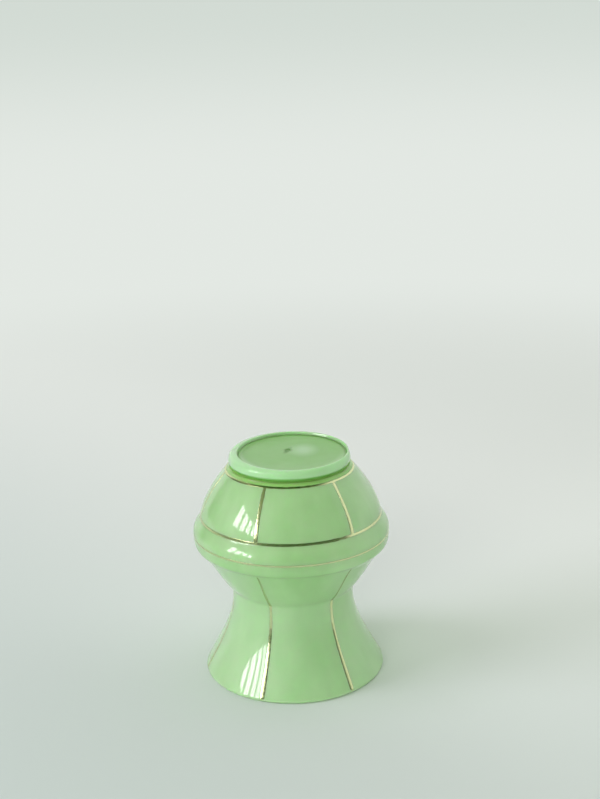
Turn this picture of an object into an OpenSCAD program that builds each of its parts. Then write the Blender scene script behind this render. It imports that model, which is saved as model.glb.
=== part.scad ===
// Small blown opaline glass vase, standing upside down on its flared mouth.
// Origin: centre of the mouth's resting ring. +Z is the axis of the vase and
// points up to its foot.

/* [Overall] */
// Height from the mouth's resting ring to the top of the foot
total_h = 133; // [131:1:140]
// Thickness of the blown wall
wall = 3.5; // [2.5:0.1:4]

/* [Mouth and neck] */
// Outer radius of the flared mouth
mouth_r = 52.5; // [50:0.5:56]
// Rounding of the mouth's outer edge
lip_r = 1.5; // [1:0.1:1.8]
// Steepness of the flare where it leaves the lip, in degrees from level
flare_slope = 62; // [55:1:68]
// Outer radius of the waist, where the neck meets the bowl
waist_r = 35.5; // [33:0.5:38]
// Height of the waist
waist_z = 51.7; // [49:0.1:54]

/* [Bowl and belt] */
// Outer radius of the crease under the belt
crease_r = 53.8; // [52:0.1:55]
// Height of the crease under the belt
crease_z = 77.4; // [76:0.1:78.5]
// Outer radius of the belt at its widest
belt_r = 57; // [56:0.1:59]
// Height of the belt's widest circle
belt_z = 86.8; // [86.5:0.1:88]
// Outer radius at the top of the belt, where the dome springs
spring_r = 52.2; // [51:0.1:53]
// Height at the top of the belt
spring_z = 95.7; // [95:0.1:97]
// Outer radius of the shoulder, at the foot's collar
shoulder_r = 36.8; // [36:0.1:38]
// Height of the shoulder
shoulder_z = 123.3; // [122:0.1:124]

/* [Foot] */
// Radius of the groove between the collar and the foot's bead
groove_r = 34; // [33:0.1:34.4]
// Outer radius of the foot's bead
bead_r = 35; // [34.8:0.1:36]
// Radius of the shallow recess inside the bead
recess_r = 31; // [28:0.1:31.2]
// Depth of the recess at its centre, below the foot's top
recess_depth = 2.6; // [2.2:0.1:3.2]
// Thickness of glass under the recess
base_t = 10; // [8:0.5:14]

/* [Gilding] */
// Thickness of the painted gold
gilt_t = 0.25; // [0.15:0.05:0.4]
// Width of the gold rings
ring_w = 1.2; // [0.8:0.1:1.8]
// Angle that a gold stroke covers, in degrees
stroke_angle = 1.6; // [1:0.1:2.5]
// Turn of the first stroke from +X, in degrees
stroke_turn = 9; // [0:1:59]

/* [Hidden] */
$fn = 144;
curve_steps = 16;
bend_steps = 8;
// Strokes around the dome, and as many around the neck
strokes = 6;
// How far each painted stroke strays from its even place, in degrees
dome_drift = [0.4, -0.6, 0.2, 0.5, -0.5, 1.6];
neck_drift = [-0.3, 0.5, -0.4, 0.3, 0.2, -0.7];

GLASS = ["lip", "neck", "bowl", "belt", "dome", "base", "foot_plate", "foot_bead", "pontil_mark"];
RINGS = ["gold_ring_low", "gold_ring_belt", "gold_ring_shoulder"];
DOME_STROKES = [for (k = [1 : strokes]) str("dome_stroke_", k)];
NECK_STROKES = [for (k = [1 : strokes]) str("neck_stroke_", k)];

jade = "#93c98a";
deep_jade = "#6fb262";
pale_jade = "#b3dca9";
gold = "#c9a24a";

// ---- outline helpers ------------------------------------------------------

function heading(a) = [cos(a), sin(a)];

// Points on a cubic curve from p to q, leaving and arriving along the handles.
function curve(p, leave, arrive, q) =
    [for (k = [0 : curve_steps])
        let (t = k / curve_steps, s = 1 - t)
        s * s * s * p + 3 * s * s * t * (p + leave) + 3 * s * t * t * (q - arrive) + t * t * t * q];

function arc(centre, r, from, to, steps) =
    [for (k = [0 : steps]) centre + r * heading(from + (to - from) * k / steps)];

// Outward unit normal of an outline that runs upwards, at its point i.
function normal(path, i) =
    let (d = path[min(i + 1, len(path) - 1)] - path[max(i - 1, 0)])
    [d[1], -d[0]] / norm(d);

function shifted(path, by) = [for (i = [0 : len(path) - 1]) path[i] + by * normal(path, i)];

// The closed outline between points i and j of two paths that run side by side.
function strip(outer, inner, i, j) =
    concat([for (k = [i : j]) outer[k]], [for (k = [j : -1 : i]) inner[k]]);

// ---- the outside of the vase, from the mouth up to the shoulder --------------

lip_centre = [mouth_r - lip_r, lip_r];
lip_top = lip_centre + lip_r * heading(90 - flare_slope);
neck_path = curve(lip_top, 18 * heading(180 - flare_slope), 18 * heading(84), [waist_r, waist_z]);

bowl_path = curve([waist_r, waist_z], 12 * heading(48), 10 * heading(49), [crease_r, crease_z]);

// The low ring sits just under the widest circle, in a seat as wide as the ring.
low_seat = [belt_r - 0.3, belt_z - 1.9];
belt_under = curve([crease_r, crease_z], 3 * heading(34), 2 * heading(82), low_seat);

belt_seat = [spring_r, spring_z] - ring_w * heading(118);
belt_over = curve(low_seat + ring_w * heading(85), 3 * heading(90), 3 * heading(127), belt_seat);

shoulder_seat = [shoulder_r, shoulder_z] - ring_w / 2 * heading(135);
dome_path = curve([spring_r, spring_z], 10 * heading(100), 9.5 * heading(129), shoulder_seat);

shoulder_top = shoulder_seat + ring_w * heading(140);

outline = concat(neck_path, [for (k = [1 : curve_steps]) bowl_path[k]],
                 [for (k = [1 : curve_steps]) belt_under[k]], belt_over, dome_path, [shoulder_top]);
cavity = shifted(outline, -wall);
gilt = shifted(outline, gilt_t);

// Where each part of the outline begins and ends.
waist_i = curve_steps;
crease_i = waist_i + curve_steps;
low_i = crease_i + curve_steps;
belt_i = low_i + 1 + curve_steps;
spring_i = belt_i + 1;
shoulder_i = spring_i + curve_steps;

// ---- glass --------------------------------------------------------------------

module turned(points) {
    rotate_extrude() polygon(points);
}

// Rounding of the mouth's inner edge
inner_edge_r = 0.7;

// Fire-polished edge of the mouth; its flat underside is what the vase rests on.
module lip() {
    inner = cavity[0];
    edge_r = min(inner_edge_r, inner[1]);
    color(pale_jade) turned(concat(
        arc(lip_centre, lip_r, -90, 90 - flare_slope, bend_steps),
        [for (k = [0 : bend_steps])
            inner + [edge_r * k / bend_steps, -inner[1] * sin(90 * k / bend_steps)]]));
}

// Flared neck, widest at the mouth.
module neck() {
    color(jade) turned(strip(outline, cavity, 0, waist_i));
}

// Sloping wall of the bowl between the waist and the belt.
module bowl() {
    color(jade) turned(strip(outline, cavity, waist_i, crease_i));
}

// Rounded band around the bowl's widest part.
module belt() {
    color(jade) turned(strip(outline, cavity, crease_i, spring_i));
}

// Closed end of the bowl, rising from the belt to the collar.
module dome() {
    color(jade) turned(strip(outline, cavity, spring_i, shoulder_i + 1));
}

// The collar is the step that the foot's disc stands on.
collar_h = 1.9;
collar_r = groove_r + 0.5;
collar_z = shoulder_z + collar_h;
// Width and height cut off the collar's edge
collar_cut = [0.3, 0.5];
// Height of the cove that leads from the collar into the groove
cove_h = 0.6;

bead_h = 6.2;
bead_low_z = total_h - bead_h;
recess_z = total_h - recess_depth;
// Rounding of the bead's edges, and the width of the flat ground on it
bead_round = 2;
flat_w = 0.8;
// Height of the lower rounding's centre above the bead's underside
belly_h = 2.2;

// Rise of the dished recess from its centre to its edge
dish_rise = 1.1;
// Largest rounding where the wall runs into the floor
floor_round = 6;
// Outer radius of the broken ring that the snapped glass leaves
mark_r = 2.3;

// Height of the dished recess at distance r from the axis.
function dish_z(r) = recess_z + dish_rise * pow(r / recess_r, 2);

// Thick floor of the vase with its collar.
module base() {
    inner = cavity[shoulder_i + 1];
    floor_z = recess_z - base_t;
    bend = min(floor_round, inner[0] / 3);
    rise = inner[1] - floor_z;
    color(jade) turned(concat(
        [[0, floor_z], [inner[0] - bend, floor_z]],
        [for (k = [1 : bend_steps])
            let (a = 90 * k / bend_steps)
            [inner[0] - bend * cos(a), floor_z + rise * (1 - cos(a))]],
        [shoulder_top, [collar_r + collar_cut[0], collar_z - collar_cut[1]],
         [collar_r, collar_z], [0, collar_z]]));
}

// Disc of the foot: the groove is its side and the recess its dished top.
module foot_plate() {
    dish = [for (k = [0 : bend_steps])
        let (r = recess_r + (mark_r - recess_r) * k / bend_steps) [r, dish_z(r)]];
    color(deep_jade) turned(concat(
        [[0, collar_z], [collar_r, collar_z], [groove_r, collar_z + cove_h],
         [groove_r, bead_low_z], [recess_r, bead_low_z]],
        dish, [[0, dish_z(mark_r)]]));
}

// Rounded bead around the foot, flat on top where it was ground to stand.
module foot_bead() {
    round_r = bead_r - bead_round;
    color(pale_jade) turned(concat(
        [[recess_r, bead_low_z], [groove_r, bead_low_z]],
        arc([round_r, bead_low_z + belly_h], bead_round, -60, 0, bend_steps),
        arc([round_r, total_h - bead_round], bead_round, 0, 90, bend_steps),
        curve([round_r - flat_w, total_h], 0.6 * heading(180), 0.4 * heading(225),
              [recess_r, dish_z(recess_r)])));
}

// The broken ring is open on one side: where it starts and how far it runs, in degrees
mark_turn = 200;
mark_sweep = 230;
pit_r = 0.9;
mark_h = 0.45;

// Chip of snapped glass left where the blowing rod was broken off.
module pontil_mark() {
    color(deep_jade) translate([0, 0, dish_z(mark_r)]) rotate(mark_turn)
        rotate_extrude(angle = mark_sweep)
            polygon([[pit_r, 0], [mark_r, 0], [mark_r - 0.4, 0.8 * mark_h], [pit_r + 0.4, mark_h]]);
}

// ---- gold ---------------------------------------------------------------------

// A painted ring over the seat that starts at point i of the outline.
module gold_ring(i) {
    color(gold) turned(strip(gilt, outline, i, i + 1));
}

// A painted stroke along the outline from point i to point j.
module gold_stroke(i, j, turn) {
    color(gold) rotate(turn - stroke_angle / 2)
        rotate_extrude(angle = stroke_angle) polygon(strip(gilt, outline, i, j));
}

module dome_stroke(k) {
    gold_stroke(spring_i, shoulder_i, stroke_turn + k * 360 / strokes + dome_drift[k]);
}

// A neck stroke carries on over the waist and up the bowl to the crease.
module neck_stroke(k) {
    gold_stroke(0, crease_i, stroke_turn + k * 360 / strokes + neck_drift[k]);
}

lip();
neck();
bowl();
belt();
dome();
base();
foot_plate();
foot_bead();
pontil_mark();
gold_ring(low_i);  // gold_ring_low
gold_ring(belt_i);  // gold_ring_belt
gold_ring(shoulder_i);  // gold_ring_shoulder
for (k = [0 : strokes - 1])
    dome_stroke(k);
for (k = [0 : strokes - 1])
    neck_stroke(k);
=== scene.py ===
# %% [markdown]
# # A small opaline vase, standing on its mouth
#
# The vase is blown from milky green glass and painted with thin gold lines. It stands
# upside down: the flared mouth is on the table and the foot, with the scar of the blowing
# rod, is on top. Every surface here is either turned about the Z axis or painted along
# that turned surface, so two small Geometry Nodes trees make nearly all of it.

# %% Load the CAD model as a fixed frame
import math

import bmesh
import bpy
from mathutils import Matrix, Vector


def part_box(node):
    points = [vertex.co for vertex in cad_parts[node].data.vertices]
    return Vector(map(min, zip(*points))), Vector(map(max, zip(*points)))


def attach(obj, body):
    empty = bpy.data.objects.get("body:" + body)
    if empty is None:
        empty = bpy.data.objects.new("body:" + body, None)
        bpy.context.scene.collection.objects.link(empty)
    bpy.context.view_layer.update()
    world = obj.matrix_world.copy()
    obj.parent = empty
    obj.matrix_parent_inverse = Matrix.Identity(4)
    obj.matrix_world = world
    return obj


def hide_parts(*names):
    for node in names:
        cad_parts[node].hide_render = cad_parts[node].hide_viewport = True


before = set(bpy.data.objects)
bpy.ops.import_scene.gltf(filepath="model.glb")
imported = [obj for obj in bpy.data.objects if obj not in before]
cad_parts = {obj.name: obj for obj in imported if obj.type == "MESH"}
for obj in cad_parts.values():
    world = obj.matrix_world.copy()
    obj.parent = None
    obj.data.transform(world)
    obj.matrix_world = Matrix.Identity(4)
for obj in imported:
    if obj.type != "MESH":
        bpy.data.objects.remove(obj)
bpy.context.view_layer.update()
mm = 0.001

# %% [markdown]
# ## Sizes
#
# The CAD model already fixes every size. Its meshes hold a ring of points at each height
# where the outline turns, so the radius of the waist or of a groove is the largest
# distance from the axis among the points at that height. Reading the sizes this way keeps
# the glass here and the solids in the CAD model from drifting apart.

# %% Read the outline's turning points off the frame
def ring_radius(node, height):
    """Outer radius of a CAD node's ring of points at that height."""
    points = [v.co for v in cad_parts[node].data.vertices]
    return max(math.hypot(p.x, p.y) for p in points if abs(p.z - height) < 0.02 * mm)


wall = 3.5 * mm
groove_depth = 0.5 * mm
ring_overhang = 0.6 * mm  # from the middle of the shoulder ring out to its lower edge
mouth_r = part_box("lip")[1].x
waist_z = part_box("bowl")[0].z
waist_r = ring_radius("bowl", waist_z)
crease_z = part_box("belt")[0].z
crease_r = ring_radius("belt", crease_z)
belt_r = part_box("belt")[1].x
low_ring_z = sum(c.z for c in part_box("gold_ring_low")) / 2
belt_ring_z = sum(c.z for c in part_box("gold_ring_belt")) / 2
spring_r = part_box("dome")[1].x
shoulder_z = sum(c.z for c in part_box("gold_ring_shoulder")) / 2
shoulder_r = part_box("gold_ring_shoulder")[1].x - ring_overhang
collar_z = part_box("foot_plate")[0].z
collar_r = ring_radius("foot_plate", collar_z)
floor_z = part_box("base")[0].z
bead_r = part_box("foot_bead")[1].x
bead_low_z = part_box("foot_bead")[0].z
foot_top_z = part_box("foot_bead")[1].z
dish_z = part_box("pontil_mark")[0].z
groove_r = collar_r - groove_depth
print("waist", round(waist_r / mm, 1), "at", round(waist_z / mm, 1),
      "mm; belt", round(belt_r / mm, 1), "mm; foot top", round(foot_top_z / mm, 1), "mm")


# %% Two ways into the scene
def in_scene(name, data):
    """An object that shows this mesh, curve, lamp or camera."""
    made = bpy.data.objects.new(name, data)
    bpy.context.scene.collection.objects.link(made)
    return made


def from_shape(name, shape):
    """An object made of a bmesh, which is used up."""
    mesh = bpy.data.meshes.new(name)
    shape.to_mesh(mesh)
    shape.free()
    return in_scene(name, mesh)


# %% [markdown]
# ## Node wiring that reads like arithmetic
#
# Shader and geometry trees are both made of sockets and links. A small class wraps an
# output socket and overloads Python's operators, so `1 - mask * 0.5` adds the Math nodes
# by itself. Any other node comes from one method, `Tree.node`, which takes the node's
# type, its settings and what its sockets hold. The same two classes serve the materials
# and the modifiers.

# %% Two small classes for building node trees
class Wire:
    """An output socket that can be used in arithmetic."""

    def __init__(self, tree, socket):
        self.tree = tree
        self.socket = socket

    def output(self, name):
        """Another output of the same node."""
        return Wire(self.tree, self.socket.node.outputs[name])

    def __add__(self, other):
        return self.tree.maths("ADD", self, other)

    def __sub__(self, other):
        return self.tree.maths("SUBTRACT", self, other)

    def __rsub__(self, other):
        return self.tree.maths("SUBTRACT", other, self)

    def __mul__(self, other):
        return self.tree.maths("MULTIPLY", self, other)

    def __truediv__(self, other):
        return self.tree.maths("DIVIDE", self, other)

    def __pow__(self, other):
        return self.tree.maths("POWER", self, other)

    __radd__ = __add__
    __rmul__ = __mul__


class Tree:
    """A node tree that is filled one line at a time."""

    def __init__(self, node_tree):
        self.nodes = node_tree.nodes
        self.links = node_tree.links

    def node(self, kind, settings=None, values=None, output=0):
        made = self.nodes.new(kind)
        for name, value in (settings or {}).items():
            setattr(made, name, value)
        for name, value in (values or {}).items():
            if isinstance(value, Wire):
                self.links.new(value.socket, made.inputs[name])
            else:
                made.inputs[name].default_value = value
        return Wire(self, made.outputs[output]) if made.outputs else made

    def maths(self, operation, first, second=0.0, clamp=False):
        return self.node("ShaderNodeMath", {"operation": operation, "use_clamp": clamp},
                         {0: first, 1: second})

    def xyz(self, x, y, z):
        return self.node("ShaderNodeCombineXYZ", values={0: x, 1: y, 2: z})

    def split(self, vector):
        """X of a vector; Y and Z are the same node's other outputs."""
        return self.node("ShaderNodeSeparateXYZ", values={0: vector})

    def mix(self, share, first, second):
        """From the first colour to the second as the share goes from 0 to 1."""
        first, second = [end if isinstance(end, Wire) else (*end, 1) for end in (first, second)]
        return self.node("ShaderNodeMix", {"data_type": "RGBA"},
                         {"Factor": share, "A": first, "B": second}, output=2)


# %% [markdown]
# ## The outline of the glass
#
# A glassblower's profile is a few long free curves that meet at soft creases. A Bezier
# spline holds exactly that: a point for each crease, a heading in, a heading out, and a
# handle length for how long each curve keeps its first direction. Hot glass never creases
# sharply, so each corner is cut back a little on both sides and rounded.

# %% Describe an outline by its corners
def heading(degrees):
    return Vector((math.cos(math.radians(degrees)), math.sin(math.radians(degrees))))


class Corner:
    """A turning point of an outline: where it is, how it is reached and how it is left."""

    def __init__(self, r, z, arrive, leave=None, reach=1.0, throw=1.0, soft=0.0):
        self.at = Vector((r, z))
        self.arrive = arrive
        self.leave = arrive if leave is None else leave
        self.reach = reach * mm
        self.throw = throw * mm
        self.soft = soft * mm

    def inset(self, depth):
        """The same corner on the inner face of a wall of that thickness."""
        outward = (self.arrive + self.leave) / 2 - 90
        moved = Corner(*(self.at - depth * heading(outward)), self.arrive, self.leave)
        moved.reach, moved.throw, moved.soft = self.reach, self.throw, self.soft
        return moved

    def knots(self):
        """Bezier knots as (handle in, point, handle out)."""
        into, out_of = heading(self.arrive), heading(self.leave)
        if not self.soft:
            return [(self.at - self.reach * into, self.at, self.at + self.throw * out_of)]
        before, after = self.at - self.soft * into, self.at + self.soft * out_of
        return [(before - self.reach * into, before, before + 0.55 * self.soft * into),
                (after - 0.55 * self.soft * out_of, after, after + self.throw * out_of)]


def knots_of(corners):
    return [knot for corner in corners for knot in corner.knots()]


def backwards(knots):
    return [(after, at, before) for before, at, after in reversed(knots)]


def outline_curve(name, knots):
    """A Bezier curve object in the XZ plane, for the turning tree to read."""
    data = bpy.data.curves.new(name, "CURVE")
    data.dimensions = "3D"
    data.resolution_u = 12
    spline = data.splines.new("BEZIER")
    spline.bezier_points.add(len(knots) - 1)
    for point, (before, at, after) in zip(spline.bezier_points, knots):
        point.handle_left_type = point.handle_right_type = "FREE"
        point.handle_left = (before.x, 0, before.y)
        point.co = (at.x, 0, at.y)
        point.handle_right = (after.x, 0, after.y)
    return in_scene(name, data)


# %% The outside of the vase, from its resting ring up to the collar
lip_r = 1.5 * mm
flare = 118
lip_side = Vector((mouth_r - lip_r, lip_r)) + lip_r * heading(flare - 90)

lip_corners = [
    Corner(mouth_r - lip_r, 0, 0, reach=0.3, throw=0.83),
    Corner(mouth_r, lip_r, 90, reach=0.83, throw=0.25),
]
neck_foot = Corner(*lip_side, flare, reach=0.25, throw=18)
waist = Corner(waist_r, waist_z, 84, 48, reach=16.8, throw=10.8, soft=1.2)
crease = Corner(crease_r, crease_z, 49, 34, reach=8.6, throw=2, soft=1.4)
belly_z = (low_ring_z + crease_z + 9.4 * mm) / 2
widest = Corner(belt_r - 0.1 * mm, belly_z, 88, reach=3.4, throw=3.6)
spring = Corner(spring_r + 0.25 * mm, belt_ring_z, 127, 100, reach=2.8, throw=9.4, soft=0.9)
shoulder = Corner(shoulder_r, shoulder_z, 131, 146, reach=9, throw=0.4, soft=0.5)
collar = Corner(collar_r + 0.2 * mm, collar_z - 0.4 * mm, 146, 110,
                reach=0.3, throw=0.1, soft=0.3)

body_corners = [waist, crease, widest, spring, shoulder]
print("corners on the outside:", len(lip_corners) + 1 + len(body_corners) + 1)

# %% [markdown]
# ## Turning the outline on a lathe
#
# Revolving an outline could be done with the Screw modifier or by Spin. A Geometry Nodes
# tree does it here because the same tree turns the body and both parts of the foot, and it
# can add what a lathe doesn't: hand-blown glass is never quite round. The tree lays a
# flat grid, with one row for each point of the outline and one column for each step
# around, and moves every grid point to its place on the vase. The last column lands on
# the first, and whole rows meet on the axis, so a merge closes the seam and the poles.

# %% A group that gives blown glass its slight sway
def input_socket(group, name, kind, default=None):
    socket = group.interface.new_socket(name, in_out="INPUT", socket_type="NodeSocket" + kind)
    if default is not None:
        socket.default_value = default


def sway_group():
    """Position in, position out: a little out of round, most of all at the mouth."""
    group = bpy.data.node_groups.new("hand_blown_sway", "GeometryNodeTree")
    input_socket(group, "Position", "Vector")
    input_socket(group, "Amount", "Float")
    group.interface.new_socket("Position", in_out="OUTPUT", socket_type="NodeSocketVector")
    tree = Tree(group)
    given = tree.node("NodeGroupInput")
    parts = tree.split(given)
    x, y, z = parts, parts.output("Y"), parts.output("Z")
    slow = tree.node("ShaderNodeTexNoise", {"noise_dimensions": "3D"},
                     {"Vector": tree.xyz(x * 18, y * 18, z * 14), "Detail": 0.0, "Scale": 1.0})
    loose = tree.maths("MAXIMUM", 1 - z / waist_z, 0.12)
    swell = 1 + (slow - 0.5) * given.output("Amount") * loose
    moved = tree.xyz(x * swell, y * swell, z)
    tree.node("NodeGroupOutput", values={"Position": moved})
    return group


sway = sway_group()
sway_amount = 0.02
print("out of round by up to", round(100 * sway_amount / 2), "%")


# %% The steps that end every tree
def skin_over(tree, given, grid, position):
    """Moves the grid's points, sways them, closes the seams and gives the material."""
    swayed = tree.node("GeometryNodeGroup", {"node_tree": sway},
                       {"Position": position, "Amount": given.output("Out of round")})
    moved = tree.node("GeometryNodeSetPosition", values={"Geometry": grid, "Position": swayed})
    closed = tree.node("GeometryNodeMergeByDistance", values={"Geometry": moved, "Distance": 1e-6})
    smooth = tree.node("GeometryNodeSetShadeSmooth", values={"Geometry": closed})
    real = tree.node("GeometryNodeRealizeInstances", values={"Geometry": smooth})
    painted = tree.node("GeometryNodeSetMaterial",
                        values={"Geometry": real, "Material": given.output("Material")})
    tree.node("NodeGroupOutput", values={"Geometry": painted})


# %% The turning tree
def turning_tree():
    group = bpy.data.node_groups.new("turn_outline", "GeometryNodeTree")
    input_socket(group, "Outline", "Object")
    input_socket(group, "Steps around", "Int", 160)
    input_socket(group, "Out of round", "Float")
    input_socket(group, "Material", "Material")
    group.interface.new_socket("Geometry", in_out="OUTPUT", socket_type="NodeSocketGeometry")
    tree = Tree(group)
    given = tree.node("NodeGroupInput")
    outline = tree.node("GeometryNodeObjectInfo", values={"Object": given.output("Outline")})
    points = tree.node("GeometryNodeCurveToPoints", {"mode": "EVALUATED"},
                       {"Curve": outline.output("Geometry")})
    rows = tree.node("GeometryNodeAttributeDomainSize", {"component": "POINTCLOUD"},
                     {"Geometry": points})
    grid = tree.node("GeometryNodeMeshGrid", values={
        "Vertices X": given.output("Steps around") + 1, "Vertices Y": rows})
    around = tree.split(grid.output("UV Map"))
    row = tree.maths("ROUND", around.output("Y") * (rows - 1))
    place = tree.node("GeometryNodeSampleIndex", {"data_type": "FLOAT_VECTOR", "domain": "POINT"},
                      {"Geometry": points, "Value": tree.node("GeometryNodeInputPosition"),
                       "Index": row})
    at = tree.split(place)
    angle = around * (2 * math.pi)
    turned = tree.xyz(at * tree.maths("COSINE", angle), at * tree.maths("SINE", angle),
                      at.output("Z"))
    skin_over(tree, given, grid, turned)
    return group


turning = turning_tree()


# %% Run a tree once and keep the plain mesh
def grown(name, group, **inputs):
    """Evaluates a Geometry Nodes tree on an empty mesh and returns the result as an object."""
    seedling = in_scene(name + "_seedling", bpy.data.meshes.new(name))
    modifier = seedling.modifiers.new("grow", "NODES")
    modifier.node_group = group
    wanted = {key.replace("_", " ").lower(): value for key, value in inputs.items()}
    for item in group.interface.items_tree:
        if item.in_out == "INPUT" and item.name.lower() in wanted:
            modifier[item.identifier] = wanted.pop(item.name.lower())
    if wanted:
        raise ValueError(f"{group.name} has no input named {sorted(wanted)}")
    evaluated = seedling.evaluated_get(bpy.context.evaluated_depsgraph_get())
    mesh = bpy.data.meshes.new_from_object(evaluated)
    bpy.data.objects.remove(seedling)
    shape = bmesh.new()
    shape.from_mesh(mesh)
    bmesh.ops.recalc_face_normals(shape, faces=shape.faces)
    shape.to_mesh(mesh)
    open_edges = sum(not edge.is_manifold for edge in shape.edges)
    shape.free()
    mesh.name = name
    print(f"{name}: {len(mesh.polygons)} faces, {open_edges} open edges")
    return in_scene(name, mesh)


# %% [markdown]
# ## Opaline glass
#
# Opaline is glass made milky with fine white particles. Light goes in, scatters and comes
# out a few millimetres away, so shadows inside it are soft and green and thin edges glow,
# but nothing can be seen through it. Subsurface scattering in the Principled shader does
# this directly. Real melts are never even: faint cords and clouds run the way the
# glass was drawn out. They are slow noise, stretched along the axis, that shifts the
# colour a little and, as a bump, ripples the reflections. The skin is fire-polished, so it
# mirrors sharply, and a rough coat over it adds the soft sheen of glass that is handled.

# %% A recipe for milky glass in any shade
def ramp_between(tree, value, low, high):
    """0 below low and 1 above high, eased."""
    share = tree.maths("MULTIPLY", value - low, 1 / (high - low), clamp=True)
    return share * share * (3 - 2 * share)


def blank_material(name):
    """A new material and its tree, with no nodes yet."""
    material = bpy.data.materials.new(name)
    material.use_nodes = True
    material.node_tree.nodes.clear()
    return material, Tree(material.node_tree)


def milky_glass(name, thin, thick, cloud=0.5, veil=0.5, bare=None, matt=None, tints=()):
    """Each tint is (a function that says how much of it there is at a place, its colour).

    The veil is the soft sheen of handled glass; bare says where it is missing, and matt
    says where the glass was never polished by the fire.
    """
    material, tree = blank_material(name)
    where = tree.node("ShaderNodeTexCoord", output="Object")
    clouds = tree.node("ShaderNodeTexNoise", values={
        "Vector": tree.node("ShaderNodeMapping", values={"Vector": where, "Scale": (1, 1, 0.6)}),
        "Scale": 34.0, "Detail": 2.0, "Roughness": 0.5})
    cords = tree.node("ShaderNodeTexNoise", values={
        "Vector": tree.node("ShaderNodeMapping", values={"Vector": where, "Scale": (1, 1, 0.14)}),
        "Scale": 130.0, "Detail": 2.0, "Roughness": 0.45})
    blend = tree.maths("ADD", (clouds - 0.5) * 1.6 * cloud + (cords - 0.5) * 0.7 * cloud, 0.5,
                       clamp=True)
    colour = tree.mix(blend, thin, thick)
    for share, shade in tints:
        colour = tree.mix(share(tree, where), colour, shade)
    ripple = tree.node("ShaderNodeBump", values={
        "Strength": 0.03, "Distance": 0.25 * mm, "Height": clouds * 0.7 + cords * 0.3})
    polish, sheen = 0.015, veil
    if matt:
        polish = matt(tree, where) * 0.7 + polish
    if bare:
        sheen = (1 - bare(tree, where)) * veil
    skin = tree.node("ShaderNodeBsdfPrincipled", values={
        "Base Color": colour, "Roughness": polish, "IOR": 1.5, "Normal": ripple,
        "Subsurface Weight": 0.75, "Subsurface Radius": (0.55, 1.0, 0.5),
        "Subsurface Scale": 4.5 * mm, "Coat Weight": sheen, "Coat Roughness": 0.5,
        "Coat IOR": 1.9})
    tree.node("ShaderNodeOutputMaterial", values={"Surface": skin})
    return material


# %% Where the glass is tinted
dish_shift = Vector((1.8, -0.5, 0)) * mm
scar_at = Vector((-0.9, 6.5, 0)) * mm


def collar_colour_and_glow(tree, where):
    """The base above the shoulder ring is thick, and deeper in colour; the tint also paints in the
    saturated green glow of light passing through it.
    """
    at = tree.split(where)
    return ramp_between(tree, at.output("Z"), shoulder_z - 0.5 * mm, shoulder_z + 1 * mm)


def near_mouth(tree, where):
    """The wall was drawn out thinner and paler towards the mouth."""
    at = tree.split(where)
    return ramp_between(tree, at.output("Z"), 88 * mm, 30 * mm) * 0.22


def off_centre(tree, where, centre, wide=1.0, deep=1.0):
    """Distance from an upright line, with the two directions scaled apart."""
    at = tree.split(where)
    across, back = (at - centre.x) / wide, (at.output("Y") - centre.y) / deep
    return tree.maths("SQRT", across * across + back * back)


def inside_dish(tree, where):
    """1 in the dish, 0 on the crest of the bead."""
    return ramp_between(tree, off_centre(tree, where, dish_shift), 32 * mm, 30.4 * mm)


def lit_front_brim(tree, where):
    """The dish runs out softly towards the bead at the front, and there it is painted paler:
    painted light on the rising slope.
    """
    y = tree.split(where).output("Y")
    brim = ramp_between(tree, off_centre(tree, where, dish_shift), 25 * mm, 31 * mm)
    return brim * ramp_between(tree, y, 2 * mm, -20 * mm) * 0.85


def groove_glow_and_matt(tree, where):
    """The side of the foot below the bead, which the fire didn't reach: a matt skin, and a painted
    glow of light passing through the glass where shade would fall.
    """
    at = tree.split(where)
    return ramp_between(tree, at.output("Z"), bead_low_z + 1 * mm, bead_low_z)


def shade_under_bead(tree, where):
    """The lower edge of the bead, which turns into the groove: painted shade, deep green, under the
    bead's overhang.
    """
    at = tree.split(where)
    return ramp_between(tree, at.output("Z"), bead_low_z + 1.5 * mm, bead_low_z + 0.2 * mm)


def milky_swirl(tree, where):
    """A pale cloud beside the scar, where the rod was twisted off."""
    away = off_centre(tree, where, scar_at + Vector((9, 0, 0)) * mm, wide=11 * mm, deep=13 * mm)
    return ramp_between(tree, away, 1.0, 0.1) * 0.55


def comma_shade_and_colour(tree, where):
    """The pit of the scar and the tail that it draws out: deeper in colour, and darkened further
    with painted shade from its small steep edges.
    """
    at = tree.split(where)
    x, y = at - scar_at.x, at.output("Y") - scar_at.y
    along, aside = x * 0.34 + y * 0.94, y * 0.34 - x * 0.94
    along, aside = along / (6 * mm), aside / (1.9 * mm)
    return ramp_between(tree, tree.maths("SQRT", along * along + aside * aside), 1.2, 0.4) * 0.6


# %% Mix the three shades of glass
# Above the shoulder ring the jade is painted deeper green: partly the thick glass, partly a painted
# glow of light passing through it.
jade_glass = milky_glass(
    "jade_glass", thin=(0.47, 0.735, 0.365), thick=(0.33, 0.61, 0.235), cloud=0.9, bare=collar_colour_and_glow,
    tints=((collar_colour_and_glow, (0.34, 0.70, 0.18)), (near_mouth, (0.62, 0.87, 0.55))))
# The pale bead is painted deep green along its lower edge: a painted shade over the groove.
pale_glass = milky_glass(
    "pale_glass", thin=(0.50, 0.80, 0.44), thick=(0.42, 0.72, 0.36), cloud=0.4, veil=0.15,
    tints=((inside_dish, (0.25, 0.52, 0.14)), (shade_under_bead, (0.15, 0.43, 0.07))))
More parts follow.
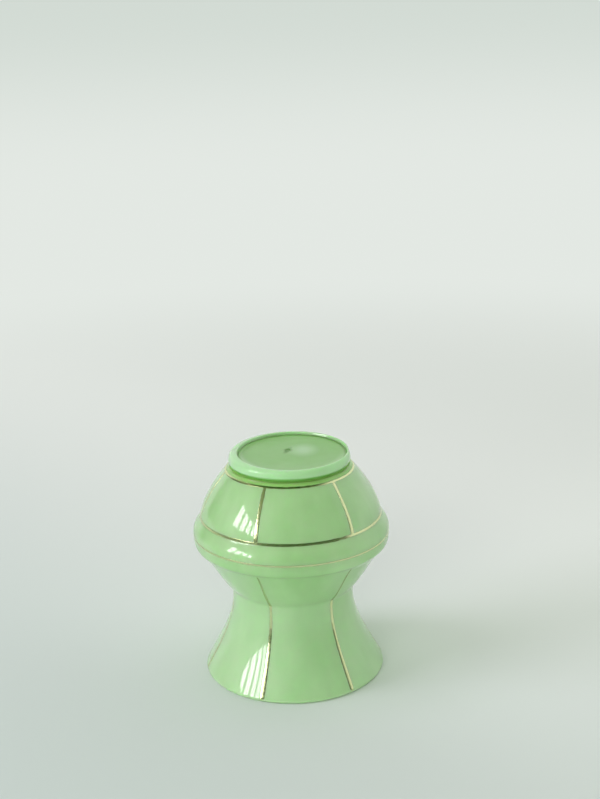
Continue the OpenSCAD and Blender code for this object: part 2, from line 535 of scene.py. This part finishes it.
# The deep glass is painted paler at the front of the dish (painted light), darker in the scar's pit
# (partly painted shade) and brighter green in the groove (a painted glow).
deep_glass = milky_glass(
    "deep_glass", thin=(0.27, 0.56, 0.17), thick=(0.18, 0.46, 0.08), veil=0.05, matt=groove_glow_and_matt,
    tints=((lit_front_brim, (0.44, 0.76, 0.35)), (milky_swirl, (0.50, 0.76, 0.46)),
           (comma_shade_and_colour, (0.05, 0.20, 0.02)), (groove_glow_and_matt, (0.22, 0.64, 0.08))))
print("glass shades:", jade_glass.name, pale_glass.name, deep_glass.name)

# %% [markdown]
# ## The blown body
#
# The body is one gather of glass, so it is one closed mesh: down the inside of the wall,
# round the fire-polished lip and up the outside to the collar. The inside follows the
# outside at the wall's thickness, which is how blown glass comes out of a mould.

# %% Turn the body
inner_corners = [corner.inset(wall) for corner in body_corners[:-1]]
inner_lip = neck_foot.at - wall * heading(flare - 90)
inner_foot = Corner(*inner_lip, flare, reach=0.3, throw=17)
inner_shoulder = Corner(shoulder_r - 2.4 * mm, shoulder_z - 2.9 * mm, 131, 150, reach=8.5, throw=1)
inside = knots_of([inner_foot, *inner_corners, inner_shoulder,
                   Corner(shoulder_r - 9 * mm, floor_z, 180, reach=3, throw=3),
                   Corner(0, floor_z, 180, reach=3)])
underside = knots_of([Corner(inner_lip.x + 0.7 * mm, 0, -10, 0, reach=0.4, throw=0.3)])
outside = knots_of([*lip_corners, neck_foot, *body_corners, collar,
                    Corner(collar_r, collar_z, 110, 180, reach=0.1, throw=3),
                    Corner(0, collar_z, 180, reach=3)])
body_outline = outline_curve("body_outline", backwards(inside) + underside + outside)
vase_body = grown("vase_body", turning, outline=body_outline, out_of_round=sway_amount,
                  material=jade_glass)

# %% [markdown]
# ## The foot
#
# The foot is a thick disc with a rounded bead around it. Turned the right way up, the vase
# stands on the bead's flat, and the shallow dish inside it keeps the rough scar off the
# table. The dish and the bead are separate pieces, because the bead catches the light and
# looks paler than the thick glass that it surrounds. The dish was pressed a little off
# centre, so after turning, the points near its edge are slid sideways.

# %% Turn the dish and the bead
recess_r = min(math.hypot(v.co.x, v.co.y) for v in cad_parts["foot_bead"].data.vertices)
recess_z = max(v.co.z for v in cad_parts["foot_plate"].data.vertices)
plate_outline = outline_curve("plate_outline", knots_of([
    Corner(0, collar_z, 0, throw=3),
    Corner(collar_r, collar_z, 0, 100, reach=3, throw=0.6),
    Corner(groove_r, (collar_z + bead_low_z) / 2, 90, reach=0.6, throw=0.3),
    Corner(groove_r, bead_low_z, 90, 180, reach=0.2, throw=0.5),
    Corner(recess_r, bead_low_z, 180, 90, reach=0.5, throw=0.5),
    Corner(recess_r, recess_z, 90, 192, reach=0.5, throw=7),
    Corner(0, dish_z, 180, reach=12)]))
foot_dish = grown("foot_dish", turning, outline=plate_outline, material=deep_glass)

bead_outline = outline_curve("bead_outline", knots_of([
    Corner(recess_r, bead_low_z, 0, throw=0.5),
    Corner(groove_r, bead_low_z, 0, 50, reach=0.5, throw=0.6),
    Corner(bead_r, (bead_low_z + foot_top_z) / 2 - 1.3 * mm, 92, reach=1.0, throw=2.3),
    Corner(bead_r - 2.9 * mm, foot_top_z, 176, reach=2.0, throw=0.1),
    Corner(bead_r - 3.2 * mm, foot_top_z, 184, reach=0.1, throw=0.3),
    Corner(recess_r, recess_z, 214, 270, reach=0.4, throw=0.5),
    Corner(recess_r, bead_low_z, 270, reach=0.5)]))
foot_bead = grown("foot_bead_ring", turning, outline=bead_outline, material=pale_glass)


# %% Slide the dish off centre
def slide_dish(piece, shift, from_r, to_r):
    """Moves what lies inside to_r by the whole shift, fading to nothing at from_r."""
    for v in piece.data.vertices:
        away = (from_r - math.hypot(v.co.x, v.co.y)) / (from_r - to_r)
        if v.co.z > recess_z - 0.5 * mm and away > 0:
            ease = min(away, 1)
            v.co += shift * ease * ease * (3 - 2 * ease)


for piece in (foot_dish, foot_bead):
    slide_dish(piece, dish_shift, bead_r - 0.2 * mm, recess_r + 0.2 * mm)
print("dish slid by", round(dish_shift.length / mm, 2), "mm")

# %% [markdown]
# ## The pontil mark
#
# A blown vase is held on an iron rod by a dab of hot glass while its mouth is shaped. When
# the rod is knocked off, it leaves a broken ring with a chipped pit. A disc of rings and
# spokes is raised here by a small height rule: a low rim that is highest on one side, and
# a pit in the middle.

# %% Build the snapped glass
def join_loops(shape, loops):
    """Lays faces between each closed loop of points and the next."""
    for low, high in zip(loops, loops[1:]):
        for k in range(len(low)):
            following = (k + 1) % len(low)
            shape.faces.new((low[k], high[k], high[following], low[following]))


def snapped_glass(name, radius, rings=14, spokes=40):
    shape = bmesh.new()
    centre = shape.verts.new((0, 0, dish_z - 0.45 * mm))
    loops = []
    for i in range(1, rings + 1):
        share = i / rings
        loop = []
        for k in range(spokes):
            turn = 2 * math.pi * k / spokes
            ragged = 1 + 0.10 * math.sin(3 * turn + 1) + 0.06 * math.sin(7 * turn)
            r = radius * share * ragged
            crest = math.exp(-((share - 0.62) / 0.17) ** 2)
            side = 0.35 + 0.65 * max(0, math.cos(turn - 0.9)) ** 2
            chips = 0.12 * math.sin(9 * turn + 5 * share) * crest
            z = (0.60 * crest * side + chips - 0.45 * math.exp(-(share / 0.35) ** 2)) * mm
            loop.append(shape.verts.new((r * math.cos(turn), r * math.sin(turn), dish_z + z)))
        loops.append(loop)
    for v in loops[-1]:
        v.co.z = dish_z - 0.05 * mm
    bottom = [shape.verts.new((v.co.x, v.co.y, dish_z - 0.7 * mm)) for v in loops[-1]]
    for k in range(spokes):
        shape.faces.new((centre, loops[0][k], loops[0][(k + 1) % spokes]))
    join_loops(shape, loops + [bottom])
    shape.faces.new(bottom)
    bmesh.ops.recalc_face_normals(shape, faces=shape.faces)
    for face in shape.faces:
        face.smooth = len(face.verts) < 5
    piece = from_shape(name, shape)
    piece.data.materials.append(deep_glass)
    print(name, "faces:", len(piece.data.polygons))
    return piece


pontil_scar = snapped_glass("pontil_scar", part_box("pontil_mark")[1].x * 1.15)
for v in pontil_scar.data.vertices:
    v.co += scar_at

# %% [markdown]
# The foot was pressed on by hand, a degree and a half out of level: its front is a little
# lower than its back. The collar below it stays level, so the groove is deeper at the back.

# %% Tilt the foot
foot_tilt = 0.028
for piece in (foot_dish, foot_bead, pontil_scar):
    for v in piece.data.vertices:
        share = (v.co.z - collar_z) / (bead_low_z - collar_z)
        v.co.z += foot_tilt * v.co.y * min(max(share, 0), 1)
print("foot tilted by", round(math.degrees(foot_tilt), 1), "degrees")

# %% [markdown]
# ## Painted gold
#
# The lines are brushed on in liquid gold and fired, so they follow the glass exactly, but
# with a hand's wander: the width breathes, the edge trembles and the ends are round. A
# second tree paints them. It lays a grid whose rows run along the line and whose columns
# go once round a very flat oval, and then places every point by two numbers: how far up
# the outline it is, and how far around. A stroke runs up the outline at one turn; a ring
# runs around at one height.

# %% Measure along the outside
collar_knots = 3
wide_outline = outline_curve("wide_outline", outside[:-collar_knots])
traced = wide_outline.to_mesh()
trace = [v.co.copy() for v in traced.vertices]
wide_outline.to_mesh_clear()


def length_up_to(height):
    """Distance along the outside, from the resting ring to that height."""
    length = 0.0
    for low, high in zip(trace, trace[1:]):
        step = (high - low).length
        if high.z >= height > low.z:
            return length + step * (height - low.z) / (high.z - low.z)
        length += step
    raise ValueError(f"the outline doesn't reach {height}")


print("outside, from lip to collar:", round(length_up_to(collar_z - 1 * mm) / mm, 1), "mm")


# %% The painting tree
def painting_tree():
    group = bpy.data.node_groups.new("paint_line", "GeometryNodeTree")
    input_socket(group, "Outline", "Object")
    input_socket(group, "Start", "Float")
    input_socket(group, "End", "Float")
    input_socket(group, "Start turn", "Float")
    input_socket(group, "End turn", "Float")
    input_socket(group, "Steps along", "Int", 120)
    input_socket(group, "Width at start", "Float")
    input_socket(group, "Width at end", "Float")
    input_socket(group, "Film", "Float", 0.05 * mm)
    input_socket(group, "Wander", "Float")
    input_socket(group, "Tremble", "Float", 0.25)
    input_socket(group, "Round ends", "Float", 1.0)
    input_socket(group, "Out of round", "Float")
    input_socket(group, "Seed", "Float")
    input_socket(group, "Material", "Material")
    group.interface.new_socket("Geometry", in_out="OUTPUT", socket_type="NodeSocketGeometry")
    tree = Tree(group)
    given = tree.node("NodeGroupInput")
    start, end, seed = given.output("Start"), given.output("End"), given.output("Seed")
    start_turn, end_turn = given.output("Start turn"), given.output("End turn")
    grid = tree.node("GeometryNodeMeshGrid", values={
        "Vertices X": 13, "Vertices Y": given.output("Steps along")})
    spot = tree.split(grid.output("UV Map"))
    oval, along = spot * (2 * math.pi), spot.output("Y")
    climb = start + (end - start) * along
    turn = start_turn + (end_turn - start_turn) * along

    def hand(scale, offset):
        """Noise that joins up with itself when a line goes all the way round."""
        at = tree.xyz(tree.maths("COSINE", turn) * scale, tree.maths("SINE", turn) * scale,
                      climb * (scale * 18) + seed + offset)
        return tree.node("ShaderNodeTexNoise", {"noise_dimensions": "3D"},
                         {"Vector": at, "Scale": 1.0, "Detail": 1.0}) - 0.5

    wander = hand(1.6, 0.0) * 2 * given.output("Wander")
    tremble = 1 + (hand(9.0, 30.0) + hand(34.0, 60.0) * 0.8) * given.output("Tremble") * 2
    nearest_end = tree.maths("MINIMUM", along, 1 - along)
    tip = tree.maths("POWER", tree.maths("MINIMUM", nearest_end * 60, 1.0), 0.5)
    taper = 1 - given.output("Round ends") * (1 - tip)
    width = (given.output("Width at start") * (1 - along) + given.output("Width at end") * along)
    across = tree.maths("COSINE", oval) * width * tremble * taper * 0.5 + wander
    rise = tree.maths("SINE", oval) * given.output("Film") * taper

    is_ring = tree.maths("LESS_THAN", tree.maths("ABSOLUTE", end - start), 1e-5)
    outline = tree.node("GeometryNodeObjectInfo", values={"Object": given.output("Outline")})
    sample = tree.node("GeometryNodeSampleCurve", {"mode": "LENGTH", "use_all_curves": False},
                       {"Curves": outline.output("Geometry"), "Length": climb + across * is_ring},
                       output="Position")
    at = tree.split(sample)
    slope = tree.split(sample.output("Tangent"))
    radius = at + slope.output("Z") * rise
    height = at.output("Z") - slope * rise
    angle = turn + across * (1 - is_ring) / at
    placed = tree.xyz(radius * tree.maths("COSINE", angle), radius * tree.maths("SINE", angle),
                      height)
    skin_over(tree, given, grid, placed)
    return group


painting = painting_tree()

# %% [markdown]
# ## The look of fired gold
#
# The film is real metal, so it is a mirror with a warm tint. It is only a few thousandths of a
# millimetre thick: where the brush ran dry or a thumb has rubbed, the green glass shows through.
# That is a noise mask that lowers Metallic and turns the colour to glass. Over the bowl the mask is
# stronger, where the line is thinner, and the greener, duller gold there is also a painted
# reflection of the green neck below it. A quarter of the glass shows through everywhere.

# %% Mix the gold
def fired_gold():
    material, tree = blank_material("fired_gold")
    where = tree.node("ShaderNodeTexCoord", output="Object")
    rubbed = tree.node("ShaderNodeTexNoise", values={
        "Vector": where, "Scale": 420.0, "Detail": 3.0, "Roughness": 0.65})
    brushed = tree.node("ShaderNodeTexNoise", values={
        "Vector": where, "Scale": 1500.0, "Detail": 1.0})
    height = tree.split(where).output("Z")
    # Over the bowl the gold is painted greener and less metallic: thinner paint, and a painted
    # reflection of the green neck.
    on_bowl = (ramp_between(tree, height, waist_z - 1 * mm, waist_z + 4 * mm)
               * (1 - ramp_between(tree, height, crease_z, crease_z + 1 * mm)))
    wear_and_bowl_reflection = tree.maths("MAXIMUM", on_bowl * 0.72,
                      tree.maths("MULTIPLY", rubbed - 0.70, 14.0, clamp=True))
    tone = tree.mix(rubbed, (0.97, 0.98, 0.64), (0.90, 0.90, 0.50))
    colour = tree.mix(wear_and_bowl_reflection * 0.9, tone, (0.32, 0.54, 0.20))
    bristle = tree.node("ShaderNodeBump", values={
        "Strength": 0.12, "Distance": 0.05 * mm, "Height": brushed})
    skin = tree.node("ShaderNodeBsdfPrincipled", values={
        "Base Color": colour, "Metallic": 1 - wear_and_bowl_reflection * 0.75, "Roughness": 0.16 + brushed * 0.10,
        "Normal": bristle})
    glass_below = tree.node("ShaderNodeBsdfDiffuse", values={"Color": (0.09, 0.33, 0.03, 1)})
    film = tree.node("ShaderNodeMixShader", values={0: 0.75, 1: glass_below, 2: skin})
    tree.node("ShaderNodeOutputMaterial", values={"Surface": film})
    return material


gold = fired_gold()

# %% Paint the three rings
belt_line_z = belt_ring_z + 0.8 * mm
rings = {"gold_ring_low": (low_ring_z, 1.0 * mm), "gold_ring_belt": (belt_line_z, 1.5 * mm),
         "gold_ring_shoulder": (shoulder_z, 1.35 * mm)}
gold_pieces = {}
for count, (node, (level, width)) in enumerate(rings.items()):
    reach = length_up_to(level)
    gold_pieces[node] = grown(
        "painted_" + node, painting, outline=wide_outline, start=reach, end=reach,
        start_turn=0.0, end_turn=2 * math.pi, steps_along=360,
        width_at_start=width, width_at_end=width, wander=0.12 * mm, round_ends=0.0,
        out_of_round=sway_amount, seed=11.0 * count, material=gold)

# %% Paint the strokes down the dome and down the neck
def stroke_turn(node):
    """Where a CAD stroke lies around the axis."""
    low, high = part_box(node)
    return math.atan2(low.y + high.y, low.x + high.x)


def paint_stroke(node, low, high, width_low, width_high, seed):
    turn = stroke_turn(node)
    gold_pieces[node] = grown(
        "painted_" + node, painting, outline=wide_outline,
        start=length_up_to(low), end=length_up_to(high), start_turn=turn, end_turn=turn,
        width_at_start=width_low, width_at_end=width_high, wander=0.25 * mm,
        out_of_round=sway_amount, seed=seed, material=gold)


strokes = 6
rim_gap, crease_gap = 0.8 * mm, 0.6 * mm
for k in range(1, strokes + 1):
    paint_stroke(f"dome_stroke_{k}", belt_line_z, shoulder_z,
                 width_low=2.4 * mm, width_high=1.6 * mm, seed=100.0 + 7 * k)
    paint_stroke(f"neck_stroke_{k}", rim_gap, crease_z - crease_gap,
                 width_low=2.6 * mm, width_high=1.0 * mm, seed=200.0 + 7 * k)

# %% [markdown]
# ## Join the pieces to the frame
#
# Each piece rides on the vase's one body and hides the CAD nodes that it stands for. The table
# lists each piece, the record's finish that it belongs to and those CAD nodes.

# %% Ride on the body and replace the CAD nodes
finishes = [
    (vase_body, "jade_glass", ["lip", "neck", "bowl", "belt", "dome", "base"]),
    (foot_dish, "deep_glass", ["foot_plate"]),
    (foot_bead, "pale_glass", ["foot_bead"]),
    (pontil_scar, "deep_glass", ["pontil_mark"]),
]
finishes += [(piece, "gold", [node]) for node, piece in gold_pieces.items()]
for piece, finish, nodes in finishes:
    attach(piece, "root")
    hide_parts(*nodes)
for curve in (body_outline, plate_outline, bead_outline, wide_outline):
    bpy.data.objects.remove(curve)
print("pieces:", len(finishes))

# %% [markdown]
# ## Stage
#
# The vase stands on a sheet of pale paper that sweeps up into a wall all the way round, so
# there is no horizon from any side. The wall is seen by the camera only: reflections and
# soft light come from the studio air behind it, which is bright on the far side and dark
# on the near side, as a room is when the light comes from one window.

# %% Floor and wall
def stage_sheet(name, rings, segments=128):
    """A turned sheet through (radius, height) pairs, open at its last ring."""
    shape = bmesh.new()
    turn = [2 * math.pi * k / segments for k in range(segments)]
    loops = [[shape.verts.new((r * math.cos(a), r * math.sin(a), z)) for a in turn]
             for r, z in rings]
    join_loops(shape, loops)
    for face in shape.faces:
        face.smooth = True
    sheet = from_shape(name, shape)
    return sheet


def paper_material(near, far, wall_low, wall_high):
    """Paper painted paler behind the vase and to its right, which is painted light, and glowing of
    itself where the floor ends, a painted light for the lit wall.
    """
    material, tree = blank_material("stage_paper")
    at = tree.split(tree.node("ShaderNodeTexCoord", output="Object"))
    # Painted light: the floor is darker in front and to the left and paler behind and to the right,
    # for the fall-off of the lamps.
    behind = ramp_between(tree, at.output("Y") + at * 0.9, low=-0.33, high=0.50)
    matt = tree.node("ShaderNodeBsdfDiffuse", values={"Color": tree.mix(behind, near, far)})
    # Painted light: from 0.36 m out the floor, and the whole wall, glow instead of being lit,
    # darker towards the top of the wall.
    up = ramp_between(tree, at.output("Z"), low=0.04, high=0.42)
    glow = tree.node("ShaderNodeEmission", values={
        "Color": tree.mix(up, wall_low, wall_high), "Strength": 1.0})
    away = tree.maths("SQRT", at * at + at.output("Y") * at.output("Y"))
    mixed = tree.node("ShaderNodeMixShader", values={
        0: ramp_between(tree, away, low=0.36, high=1.2), 1: matt, 2: glow})
    tree.node("ShaderNodeOutputMaterial", values={"Surface": mixed})
    return material


paper = paper_material(near=(0.62, 0.70, 0.64), far=(0.95, 0.995, 0.93),
                       wall_low=(0.77, 0.81, 0.77), wall_high=(0.65, 0.71, 0.66))
floor_edge, sweep, wall_top = 1.8, 1.2, 4.0
floor = stage_sheet("stage_floor", [(0.0005, 0), (0.3, 0), (floor_edge, 0)])
curve_up = [math.radians(6 * k) for k in range(16)]
wall_rings = [(floor_edge + sweep * math.sin(a), sweep * (1 - math.cos(a))) for a in curve_up]
wall_sheet = stage_sheet("stage_wall", wall_rings + [(floor_edge + sweep, wall_top)])
for sheet in (floor, wall_sheet):
    sheet.data.materials.append(paper)
wall_sheet.visible_diffuse = wall_sheet.visible_glossy = wall_sheet.visible_shadow = False
wall_sheet.visible_transmission = False
print("paper floor out to", floor_edge, "m, wall up to", wall_top, "m")

# %% [markdown]
# ## Light
#
# A wide window of four panes stands to the left, a little in front of the vase. The panes
# are seen only as reflections in the glass, where the glazing bars between them show as
# dark lines. The light itself comes from soft lamps that the glass doesn't mirror: one on
# the window's side, one above it, a wide one in front and a faint one overhead.

# %% The window
def aimed(azimuth, elevation, distance):
    """A transform that looks at the middle of the vase; azimuth turns from -Y towards -X."""
    a, e = math.radians(azimuth), math.radians(elevation)
    at = distance * Vector((-math.sin(a) * math.cos(e), -math.cos(a) * math.cos(e), math.sin(e)))
    aim = Vector((0, 0, 0.08)) - at
    return Matrix.Translation(at) @ aim.to_track_quat("-Z", "Y").to_matrix().to_4x4()


def soft_lamp(name, transform, width, height, shine, colour=(1, 1, 1), mirrored=False):
    """A soft rectangle of light; only mirrored ones are seen in the glass."""
    data = bpy.data.lights.new(name, "AREA")
    data.shape = "RECTANGLE"
    data.size, data.size_y = width, height
    data.energy = shine * math.pi * width * height
    data.color = colour
    lamp = in_scene(name, data)
    lamp.matrix_world = transform
    lamp.visible_glossy = mirrored
    lamp.visible_diffuse = not mirrored
    return lamp


window_middle, window_turn = (-1.54, -0.91, 0.775), math.radians(-96)
window_at = (Matrix.Translation(window_middle) @ Matrix.Rotation(window_turn, 4, "Z")
             @ Matrix.Rotation(math.pi / 2, 4, "X"))
window_w, window_h, columns, bar = 1.32, 0.62, 4, 0.10
pane_w = window_w / columns - bar
for column in range(columns):
    place = Vector(((column + 0.5) * window_w / columns - window_w / 2, 0, 0))
    soft_lamp(f"pane_{column}", window_at @ Matrix.Translation(place), pane_w, window_h,
              shine=12.5, mirrored=True)
print("window panes:", columns)

# %% Soft light that the glass doesn't mirror
soft_lamp("key", aimed(75, 23.5, 2.0), 0.9, 0.6, shine=7.6, colour=(1.0, 0.90, 1.14))
soft_lamp("front_fill", aimed(12, 20, 2.6), 2.2, 1.4, shine=3.45, colour=(0.98, 1.0, 0.97))
soft_lamp("top_fill", aimed(0, 89.9, 2.4), 2.4, 2.4, shine=0.7)
soft_lamp("high_left", aimed(85, 52, 2.2), 0.8, 0.8, shine=3.2, colour=(1.0, 0.94, 1.08))


# %% The studio air
def studio_air():
    """A pale wall at the far right, a dark room in front and a hazy band under the ceiling."""
    world = bpy.data.worlds.new("studio_air")
    bpy.context.scene.world = world
    world.use_nodes = True
    world.node_tree.nodes.clear()
    tree = Tree(world.node_tree)
    way = tree.split(tree.node("ShaderNodeTexCoord", output="Generated"))
    level = tree.maths("MAXIMUM", 1 - way.output("Z") * way.output("Z"), 0.01) ** 0.5
    facing = (way * 0.5 + way.output("Y") * 0.866) / level
    wall_side = tree.maths("MULTIPLY", facing - 0.17, 10.0, clamp=True)
    under_ceiling = tree.maths("MULTIPLY", 0.87 - way.output("Z"), 10.0, clamp=True)
    haze = tree.maths("MULTIPLY", way.output("Z") - 0.45, 5.0, clamp=True) * under_ceiling
    room = tree.mix(haze, (0.012, 0.014, 0.006), (0.22, 0.23, 0.18))
    colour = tree.mix(wall_side * under_ceiling, room, (0.90, 0.94, 0.90))
    air = tree.node("ShaderNodeBackground", values={"Color": colour, "Strength": 1.0})
    tree.node("ShaderNodeOutputWorld", values={"Surface": air})


studio_air()

# %% [markdown]
# ## Camera
#
# A normal lens about 0.8 m away, looking down a little. The camera is rolled by a degree
# and a half, as a hand-held one is.

# %% Camera
camera = in_scene("camera", bpy.data.cameras.new("camera"))
camera.data.sensor_fit = "VERTICAL"
camera.data.sensor_height = 36
camera.data.lens = 58.6
camera_at = Vector((0.0070, -0.7047, 0.3687))
look_down, roll = math.radians(16.29), math.radians(-1.49)
camera.matrix_world = (Matrix.Translation(camera_at)
                       @ Matrix.Rotation(math.pi / 2 - look_down, 4, "X")
                       @ Matrix.Rotation(roll, 4, "Z"))
bpy.context.scene.camera = camera
bpy.context.scene.view_settings.view_transform = "Standard"
print("camera", round(camera_at.length, 2), "m from the vase")
